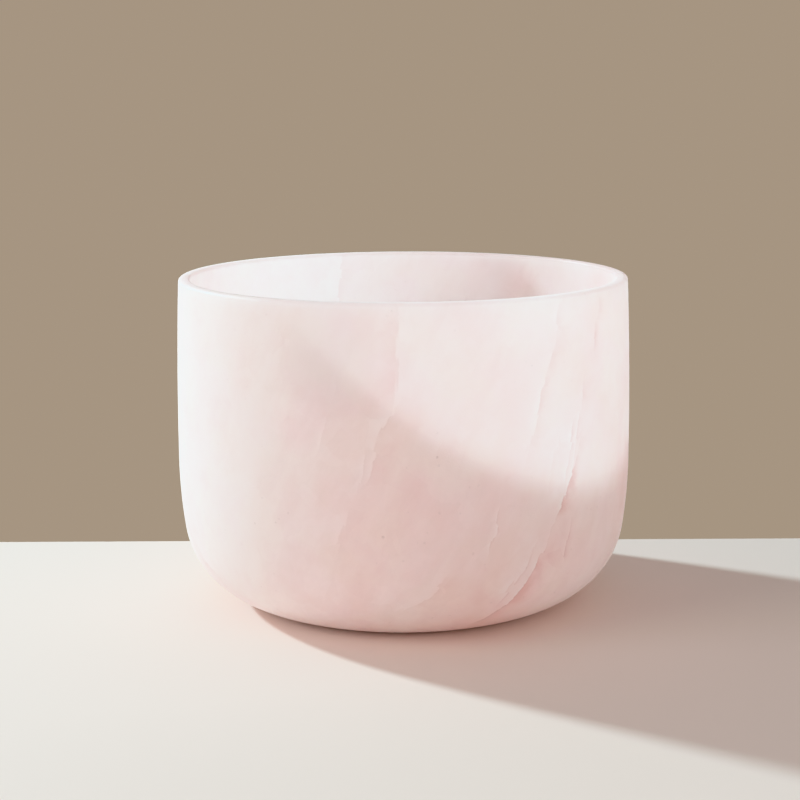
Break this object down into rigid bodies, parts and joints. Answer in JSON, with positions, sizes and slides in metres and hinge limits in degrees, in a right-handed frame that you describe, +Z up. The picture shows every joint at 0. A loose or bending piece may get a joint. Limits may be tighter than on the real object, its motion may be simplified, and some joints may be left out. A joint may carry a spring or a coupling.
{
  "type": "singing bowl",
  "caption": "Deep round frosted crystal bowl with an almost straight side, a flat-topped rim and a rounded base, struck or rubbed to ring.",
  "frame": {"origin": "centre of the flat that the bowl stands on", "axes": "+Z up along the bowl's axis; the bowl is round, so +X and +Y are any two level directions at right angles"},
  "size_m": [0.2036, 0.2036, 0.1455],
  "materials": {
    "rose_crystal": "matte"
  },
  "bodies": {
    "root": {"bowl": "rose_crystal"}
  },
  "joints": []
}
